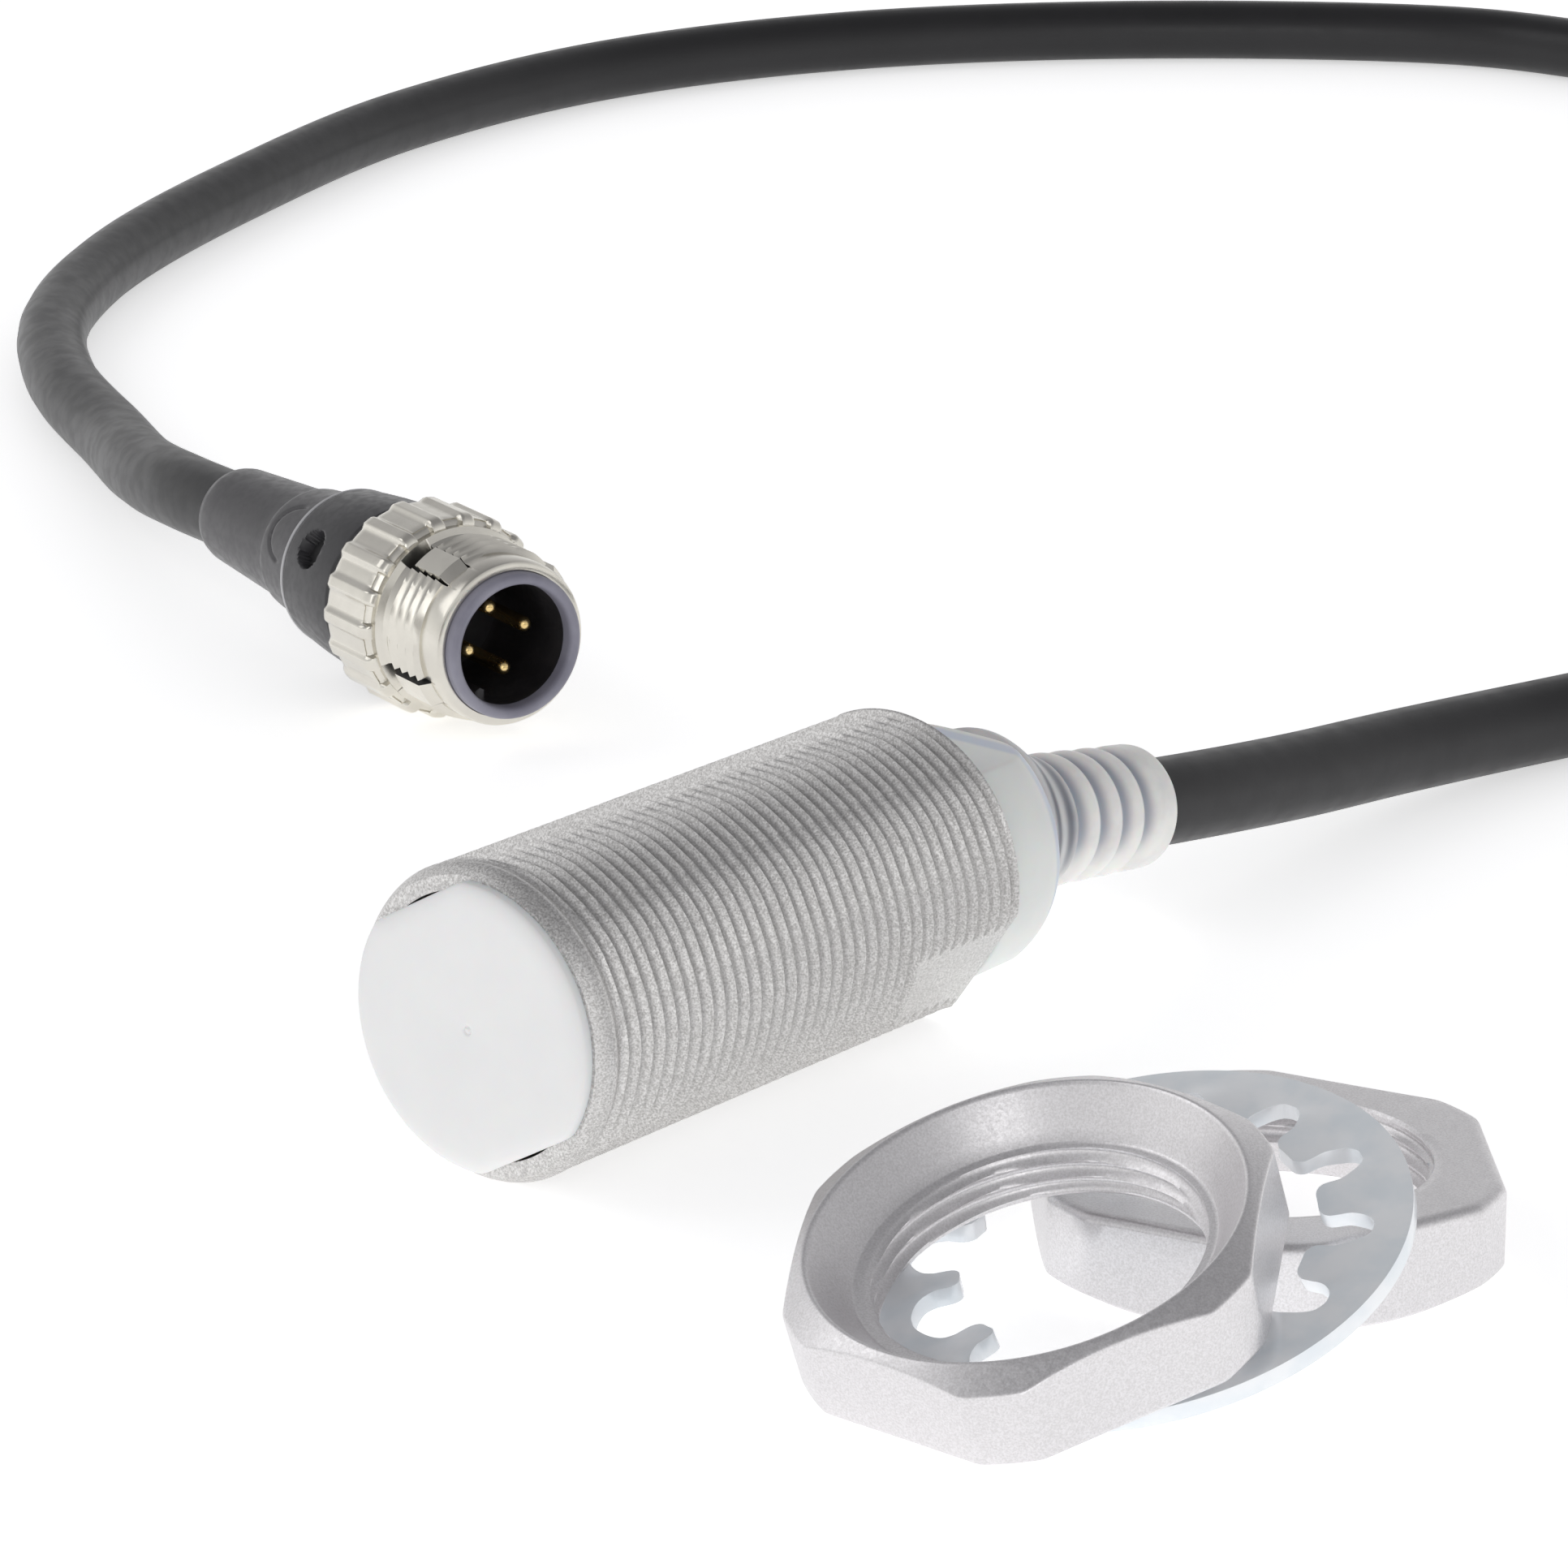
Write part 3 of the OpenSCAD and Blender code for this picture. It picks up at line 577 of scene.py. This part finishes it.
def build_boot():
    """Dark grey boot in two steps, with a rib underneath and an engraved arc on the side."""
    core_r, bore_r = 3.9, 2
    outline = [(2.72, 0.0), (3.05, 0.0), (3.28, 0.25), (3.4, 0.8)]
    outline += [(3.4 + 0.6 * t, 0.8 + 9.3 * t) for t in np.linspace(0.1, 1, 10)]
    outline += [(4.04, 10.35), (4.22, 10.55), (4.32, 10.75), (4.36, BOOT_STEP)]
    outline += [(4.36 + 0.49 * t, BOOT_STEP + 4.3 * t) for t in np.linspace(0.04, 1, 24)]
    outline += [(core_r, BOOT_END), (core_r, BOOT_CORE_END), (bore_r, BOOT_CORE_END), (bore_r, 4.2),
                (2.72, 4.2)]
    phi = directions(2.0, [FACING], 40, 1.0)
    r, z = spread(outline, phi)
    mark_s, mark_r, mark_half, mark_depth = 13.6, 2.1, 0.13, 0.16
    around = np.radians(near_angle(phi, FACING - 4)) * 4.6
    distance = np.hypot(z - mark_s, around)
    closed_side = 1 - smoothstep(-0.5, 0.3, z - mark_s)
    mark = mark_depth * np.exp(-(((distance - mark_r) / mark_half) ** 2)) * closed_side
    rib_r, rib_half = 5.05, 11
    along_rib = smoothstep(5.5, 7.5, z) * (1 - smoothstep(13.6, 14.2, z))
    rib = along_rib * np.exp(-((near_angle(phi, 0) / rib_half) ** 6))
    outside = (r > 3.2) & (z < BOOT_END - 0.01)
    r = np.where(outside, r - mark + rib * np.clip(rib_r - r, 0, 1), r)
    return turned("plug_boot_moulded", r, z, phi, ALONG_PLUG, [BOOT], "sensor", "boot_plastic", "plug_boot",
                  sharp=50)


def build_band():
    """Thin lighter ring between the boot and the plug collar."""
    phi = directions()
    outline = [(3.95, 15.35), (5.2, 15.35), (5.45, 15.5), (5.45, 15.75), (3.95, 15.78)]
    r, z = spread(rounded(outline, 0.08), phi)
    return turned("boot_band_ring", r, z, phi, ALONG_PLUG, [BAND], "sensor", "band_grey", "boot_band")


def build_plug_collar():
    """Dark front collar of the plug, with a round recess on its side whose floor is painted black as shade.
    """
    phi = directions(2.0, [FACING], 20, 0.75)
    bore_r, start_r, swell = 3.95, 5.45, 0.5
    side_s, side_len = COLLAR_S0 + 0.12, COLLAR_S1 - COLLAR_S0 - 0.2
    outline = [(bore_r, COLLAR_S0), (5.3, COLLAR_S0), (start_r, side_s)]
    outline += [(start_r + swell * math.sin(t * math.pi / 2), side_s + t * side_len)
                for t in np.linspace(0.03, 1, 34)]
    outline += [(5.9, COLLAR_S1), (bore_r, COLLAR_S1)]
    r, z = spread(outline, phi)
    recess_s, recess_depth = COLLAR_S0 + 3, 0.9
    around = np.radians(near_angle(phi, FACING)) * 5.7
    recess = 1 - smoothstep(1.2, 1.42, np.hypot(z - recess_s, around))
    outside = r > 5.2
    # Painted shade: the recess floor gets the near-black material.
    paint = np.where(outside & (recess > 0.5), 1, 0)
    r = np.where(outside, r - recess_depth * recess, r)
    return turned("plug_collar_moulded", r, z, phi, ALONG_PLUG, [COLLAR_DARK, SHADE_BLACK],
                  "sensor", "collar_black", "plug_collar", sharp=50, paint=paint)


def build_shadow_ring():
    """Black ring filling the gap between the collar and the locking ring, its black painted shade of that
    gap.
    """
    phi = directions()
    s0, s1 = COLLAR_S1 + 0.05, RING_S0 - 0.1
    r, z = spread(rounded([(4, s0), (6.0, s0), (6.0, s1), (4, s1)], 0.1), phi)
    return turned("shadow_ring_gap_shade", r, z, phi, ALONG_PLUG, [SHADE_BLACK], "sensor", "seal_rubber", "shadow_ring")


def build_locking_ring():
    """Nickel locking ring with scalloped sides and notches in its front edge."""
    scallop = 360 / SCALLOPS
    phi = directions(1.0, [(k + 0.5) * scallop for k in range(SCALLOPS)], 4.0, 0.5)
    flute = smoothstep(0.36, 0.85, np.abs(np.cos(np.radians(phi) * SCALLOPS / 2)))
    notch = np.clip((flute - 0.5) / 0.2, 0, 1)
    bore_r = 5.77
    stations = [(bore_r, RING_S0, 0), (6.2, RING_S0, 0), (6.45, RING_S0 + 0.05, 0.5),
                (6.75, RING_S0 + 0.3, 0.9), (RING_R, RING_S0 + 0.7, 1)]
    stations += [(RING_R, s, 1) for s in np.linspace(RING_S0 + 1.0, RING_S1 - 0.8, 8)]
    stations += [(6.86, RING_S1 - 0.5, 1), (6.75, RING_S1 - 0.25, 0.9), (6.5, RING_S1 - 0.06, 0.5),
                 (6.2, RING_S1, 0), (bore_r, RING_S1, 0)]
    r, z = spread([(radius - share * SCALLOP_DEPTH * flute, s) for radius, s, share in stations], phi)
    front = smoothstep(RING_S1 - 0.7, RING_S1 - 0.2, z) * (r > 6.05)
    z = z - NOTCH_DEPTH * front * notch
    return turned("locking_ring_scalloped", r, z, phi, ALONG_PLUG, [NICKEL], "coupling", "nickel",
                  "locking_ring", sharp=45)


def build_sleeve():
    """Nickel sleeve with a short thread, cut by four slots that each hold a lug, the open slot floors painted
    black as shade.
    """
    slots = [SLOT_TURN + 360 / SLOTS * k for k in range(SLOTS)]
    edges = [slot + side * half for slot in slots for side in (-1, 1) for half in (SLOT_HALF, LUG_HALF)]
    beside = [edge + d for edge in edges for d in (-0.4, 0.4)]
    phi = np.unique(np.round(np.array([*np.arange(0, 360, 2.5), *beside]) % 360, 3))
    bore_r, back_r, nose_r = 4.9, 5.72, 5.52
    rows = [(bore_r, 24), (back_r, 24), (back_r, RING_S1 - 0.5), (6.15, RING_S1 - 0.4), (6.2, RING_S1 + 0.25),
            (5.75, RING_S1 + 0.45), (5.6, THREAD_S0 - 0.1)]
    rows += [(PLUG_THREAD_R - PLUG_THREAD_DEPTH * groove(s, phi), s)
             for s in np.arange(THREAD_S0, THREAD_S1 + 0.01, 0.1)]
    rows += [(nose_r, THREAD_S1 + 0.15), (nose_r, NOSE_S1 - 1.5), (5.5, NOSE_S1 - 0.3), (5.4, NOSE_S1 - 0.08),
             (5.25, NOSE_S1), (bore_r, NOSE_S1)]
    r, z = spread(rows, phi)
    away = np.min([np.abs(near_angle(phi, slot)) for slot in slots], 0)
    in_slot = (away < SLOT_HALF) & (z > RING_S1 + 0.3) & (z < THREAD_S1 + 0.2)
    on_lug = (away < LUG_HALF) & (z > RING_S1 + 1.7)
    slot_floor_r, lug_r = 5.15, 6.1
    r = np.where(in_slot, np.where(on_lug, lug_r, slot_floor_r), r)
    # Painted shade: the open parts of the slots get the near-black material.
    paint = np.where(in_slot & ~on_lug, 1, 0)
    return turned("threaded_sleeve_nickel", r, z, phi, ALONG_PLUG, [NICKEL, SHADE_BLACK], "coupling", "nickel",
                  "threaded_sleeve", sharp=35, paint=paint)


def build_carrier():
    """Contact carrier: a grey rim round a cavity painted dark as shade, with one key rib."""
    end, floor = PLUG_S1, PLUG_S1 - CAVITY_DEPTH
    rim = [(0, 24), (4.8, 24), (4.84, NOSE_S1 - 1), (4.85, end - 0.35), (4.78, end - 0.12), (4.6, end),
           (4.35, end), (4.15, end - 0.12), (4.08, end - 0.45)]
    cavity = [(CAVITY_R, end - 1), (CAVITY_R, end - 1.4), (CAVITY_R, end - 1.6), (4.03, floor + 3),
              (4.0, floor + 0.4), (3.7, floor), (2, floor), (0, floor)]
    phi = directions(3.0, [KEY_TURN], 12, 0.75)
    r, z = spread([*rim, *cavity], phi)
    key = np.clip(1.6 - np.abs(near_angle(phi, KEY_TURN)) / 5.0, 0, 1)
    on_wall = (z < end - 1.5) & (z > floor - 0.01) & (r > 3.5) & (r < 4.2)
    r = np.where(on_wall, r - 0.65 * key, r)
    # Painted shade: the cavity faces get the dark material.
    paint = np.repeat([[0], [1]], [len(rim), len(cavity)], 0)
    return turned("contact_carrier_moulded", r, z, phi, ALONG_PLUG, [RIM, CAVITY_SHADE], "sensor",
                  "carrier_plastic", "contact_carrier", loop=False, sharp=50, paint=paint)


def build_pin(k):
    """Gold contact pin with a rounded tip."""
    outline = [(0, PIN_S0), (PIN_R, PIN_S0), (PIN_R, PIN_ROUND_S - 0.1)]
    outline += [(PIN_R * math.cos(t), PIN_ROUND_S + PIN_R * math.sin(t))
                for t in np.radians([10, 25, 40, 55, 70, 82])]
    outline += [(0, PIN_ROUND_S + PIN_R)]
    phi = directions(15)
    r, z = spread(outline, phi)
    place = ALONG_PLUG @ turn(PIN_TURN + 360 / PINS * k, "Z") @ shift(PIN_CIRCLE_R, 0, 0)
    node = f"contact_pin_{k + 1}"
    return turned(f"{node}_gold", r, z, phi, place, [GOLD], "sensor", "gold_pin", node, loop=False)


plug_pieces = [build_boot(), build_band(), build_plug_collar(), build_shadow_ring(), build_locking_ring(),
               build_sleeve(), build_carrier(), *[build_pin(k) for k in range(PINS)]]

# ---------------------------------------------------------------- nuts and washer

NUT_AF, NUT_H, NUT_CORNER_R, RIDGE_R = 24.0, 5.4, 13.0, 11.4
NUT_BORE_R, NUT_THREAD_DEPTH, NUT_CHAMFER_SLOPE = 8.46, 0.54, 0.577
CONE_Z, CONE_LOW_R = 2.9, 9.32


def build_nut(name, place, body, node):
    """Hexagon nut with turned corners, a deep cone in its upper face and a fine thread."""
    corner = math.degrees(math.acos(NUT_AF / 2 / NUT_CORNER_R))
    phi = directions(2.5, [30 + 60 * k + side * corner for k in range(6) for side in (-1, 1)], 3.0, 0.5)
    hexagon = NUT_AF / 2 / np.cos(np.radians(np.abs(phi % 60 - 30)))
    outline = soft_min(hexagon, NUT_CORNER_R, 260)
    top = NUT_H - NUT_CHAMFER_SLOPE * (outline - RIDGE_R)
    rows = [(NUT_BORE_R + 0.45, 0.0), (NUT_BORE_R + 0.9, 0.0)]
    lower_edge = ((0.75, 0), (0.42, 0.03), (0.22, 0.12), (0.08, 0.28), (0, 0.5))
    upper_edge = ((0, -0.16), (0.02, -0.07), (0.08, 0.01), (0.18, 0.075))
    ridge = ((0.25, 0.25 * NUT_CHAMFER_SLOPE), (0.1, 0.06), (0, 0.02), (-0.12, 0.05), (-0.25, 0.2))
    rows += [(outline - inset, up) for inset, up in lower_edge]
    rows += [(outline, 0.5 + (top - 0.65) * t) for t in (0.33, 0.66)]
    rows += [(outline - inset, top + up) for inset, up in upper_edge]
    rows += [(RIDGE_R + out, NUT_H - down) for out, down in ridge]
    cone_r, cone_z = rows[-1]
    rows += [(cone_r + (CONE_LOW_R + 0.1 - cone_r) * t, cone_z + (CONE_Z + 0.1 - cone_z) * t)
             for t in (0.25, 0.5, 0.75, 1)]
    rows += [(CONE_LOW_R, CONE_Z + 0.02), (CONE_LOW_R - 0.15, CONE_Z)]
    for z in np.arange(CONE_Z - 0.05, 0.1, -0.1):
        thread = NUT_THREAD_DEPTH * groove(z, phi) * smoothstep(0.1, 0.7, z)
        rows.append((NUT_BORE_R + thread + 0.3 * (1 - smoothstep(0.1, 0.6, z)), z))
    nut = turned(name, *spread(rows, phi), phi, place, [NUT], body, "nut_metal", node, sharp=45)
    nut.modifiers.new("flat_shading", "WEIGHTED_NORMAL").keep_sharp = True
    return nut


WASHER_R, WASHER_T = 14.2, 1.0
TEETH, TOOTH_TIP_R, TOOTH_ROUND, TOOTH_TWIST = 12, 9.3, 0.75, math.radians(17.0)
GAP_CENTRE_R, GAP_R = 10.7, 1.62
HALF_SECTOR = math.pi / TEETH


def washer_rows():
    """Radius and half width of one tooth's sector: the band, the round gap end, and the rounded tip."""
    rows = [(rho, HALF_SECTOR * rho) for rho in (WASHER_R, 13.7, 13.2, 12.8, 12.45)]
    for psi in np.radians(np.arange(0, 91, 10)):
        rho = GAP_CENTRE_R + GAP_R * math.cos(psi)
        rows.append((rho, HALF_SECTOR * rho - GAP_R * math.sin(psi)))
    waist = rows[-1][1]
    straight = GAP_CENTRE_R - TOOTH_TIP_R - TOOTH_ROUND
    rows += [(GAP_CENTRE_R - straight * t, waist - 0.05 * t) for t in (0.35, 0.7)]
    for psi in np.radians([0, 20, 40, 60, 78, 90]):
        rows.append((TOOTH_TIP_R + TOOTH_ROUND * (1 - math.sin(psi)),
                     waist - 0.05 - TOOTH_ROUND * (1 - math.cos(psi))))
    return rows


def washer_point(rho, side, middle):
    """A point from its radius and its distance to the side of a tooth's middle, with the twist."""
    twist = TOOTH_TWIST * (1 - float(smoothstep(11.2, 13.4, rho)))
    if rho > GAP_CENTRE_R:
        twist *= 1 - float(smoothstep(0.8, 3.2, abs(side)))
    sideways = side if rho > GAP_CENTRE_R + GAP_R else side * math.cos(twist)
    direction = middle + sideways / rho
    return Vector((rho * math.cos(direction), rho * math.sin(direction), 0.8 * side * math.sin(twist)))


def build_washer():
    """Zinc-plated lock washer: a flat band with twelve round-ended inner teeth, each twisted."""
    rows = washer_rows()
    across = np.linspace(-1, 1, 17)
    place = leaning(40.7, 6, -3.74) @ Matrix.Rotation(HALF_SECTOR, 4, "Z")
    points = [place @ washer_point(rho, u * half, 2 * HALF_SECTOR * k) * MM
              for k in range(TEETH) for rho, half in rows for u in across]
    index = np.arange(len(points)).reshape(TEETH, len(rows), len(across))
    corners = [index[:, :-1, :-1], index[:, :-1, 1:], index[:, 1:, 1:], index[:, 1:, :-1]]
    mesh = bpy.data.meshes.new("toothed_washer_zinc")
    mesh.from_pydata(points, [], np.stack(corners, -1).reshape(-1, 4).tolist())
    washer = finish_mesh("toothed_washer_zinc", mesh, [ZINC], "washer", "toothed_washer", 180)
    solid = washer.modifiers.new("thickness", "SOLIDIFY")
    solid.thickness = WASHER_T * MM * 0.96
    solid.offset = 0
    solid.use_even_offset = True
    bevel = washer.modifiers.new("soft_edges", "BEVEL")
    bevel.width = 0.16 * MM
    bevel.segments = 3
    bevel.limit_method = "ANGLE"
    bevel.angle_limit = math.radians(50)
    return washer


REAR_NUT_PLACE = shift(38.3, 20.3, -9) @ turn(12.4, "Z") @ shift(0, 0, NUT_H) @ turn(180, "X")
FRONT_NUT_PLACE = leaning(39.9, -0.6, -4.89) @ turn(3, "Z")

build_nut("rear_nut_blasted", REAR_NUT_PLACE, "rear_nut", "rear_nut")
build_nut("front_nut_blasted", FRONT_NUT_PLACE, "front_nut", "front_nut")
build_washer()

# ---------------------------------------------------------------- inner CAD pieces

INNER = {
    "ferrite_core": ("ferrite", (0.05, 0.05, 0.055), (0.09, 0.09, 0.095), 0.6),
    "shield_ring": ("brass", (0.6, 0.45, 0.2), (0.75, 0.58, 0.28), 0.3),
    "coil_bobbin": ("bobbin_plastic", (0.75, 0.72, 0.62), (0.85, 0.82, 0.72), 0.5),
    "coil_winding": ("enamelled_copper", (0.35, 0.12, 0.05), (0.55, 0.22, 0.09), 0.35),
    "coil_leads": ("lead_wire", (0.6, 0.45, 0.2), (0.8, 0.6, 0.3), 0.3),
    "circuit_board": ("board_laminate", (0.02, 0.12, 0.05), (0.03, 0.2, 0.08), 0.45),
    "oscillator_chip": ("chip_black", (0.01, 0.01, 0.01), (0.03, 0.03, 0.03), 0.5),
    "output_transistor": ("transistor_black", (0.01, 0.01, 0.01), (0.03, 0.03, 0.03), 0.5),
    "chip_capacitors": ("capacitor_tan", (0.45, 0.32, 0.2), (0.6, 0.45, 0.3), 0.4),
    "status_leds": ("led_lens", (0.75, 0.7, 0.4), (0.9, 0.85, 0.55), 0.25),
    "potting_resin": ("potting_resin", (0.35, 0.22, 0.1), (0.5, 0.33, 0.17), 0.4),
    "core_wires": ("wire_brown", (0.2, 0.08, 0.03), (0.3, 0.13, 0.05), 0.5),
    "plug_wires": ("wire_brown_plug", (0.2, 0.08, 0.03), (0.3, 0.13, 0.05), 0.5),
}
for node, (name, dark, light, roughness) in INNER.items():
    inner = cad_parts[node]
    inner.data.materials.clear()
    inner.data.materials.append(moulded(name, dark, light, roughness, 0.3, 0.01))

# ---------------------------------------------------------------- floor, light


def build_floor():
    """White paper that the object lies on."""
    mesh = bpy.data.meshes.new("floor")
    work = bmesh.new()
    bmesh.ops.create_circle(work, cap_ends=True, segments=64, radius=4.0)
    work.to_mesh(mesh)
    work.free()
    paper = Finish("floor_paper", (0.93, 0.93, 0.93), 0.6, 0.0,
                   Emission_Color=(1, 1, 1, 1), Emission_Strength=0.55)
    mesh.materials.append(paper.bump(paper.noise(1.0), 0.002).material)
    made = bpy.data.objects.new("floor", mesh)
    made.location.z = cad_low.z
    bpy.context.scene.collection.objects.link(made)
    return made


def build_sky():
    """Studio surroundings: white at the horizon and greyer above."""
    world = bpy.data.worlds.new("studio")
    bpy.context.scene.world = world
    world.use_nodes = True
    tree = world.node_tree
    up = tree.nodes.new("ShaderNodeTexCoord").outputs["Generated"]
    split = tree.nodes.new("ShaderNodeSeparateXYZ")
    tree.links.new(up, split.inputs["Vector"])
    sky = tree.nodes.new("ShaderNodeValToRGB")
    tree.links.new(split.outputs["Z"], sky.inputs["Fac"])
    tones = sky.color_ramp.elements
    tones[0].position, tones[0].color = 0.05, (1.0, 1.0, 1.0, 1)
    tones[1].position, tones[1].color = 0.45, (0.60, 0.60, 0.61, 1)
    tones.new(0.9).color = (0.30, 0.30, 0.31, 1)
    tree.links.new(sky.outputs["Color"], tree.nodes["Background"].inputs["Color"])
    tree.nodes["Background"].inputs["Strength"].default_value = 1.0


def softbox(name, place, target, size, power):
    """A square area light aimed at a point, in millimetres."""
    light = bpy.data.lights.new(name, "AREA")
    light.size = size * MM
    light.energy = power
    lamp = bpy.data.objects.new(name, light)
    bpy.context.scene.collection.objects.link(lamp)
    lamp.location = Vector(place) * MM
    aim = Vector(target) - Vector(place)
    lamp.rotation_mode = "QUATERNION"
    lamp.rotation_quaternion = aim.to_track_quat("-Z", "Y")


floor = build_floor()
build_sky()
softbox("key_softbox", (-500, -300, 500), (0, 40, 0), 450, 0.6)
softbox("fill_softbox", (500, -600, 260), (0, 20, 0), 400, 0.5)

bpy.context.scene.view_settings.view_transform = "Standard"
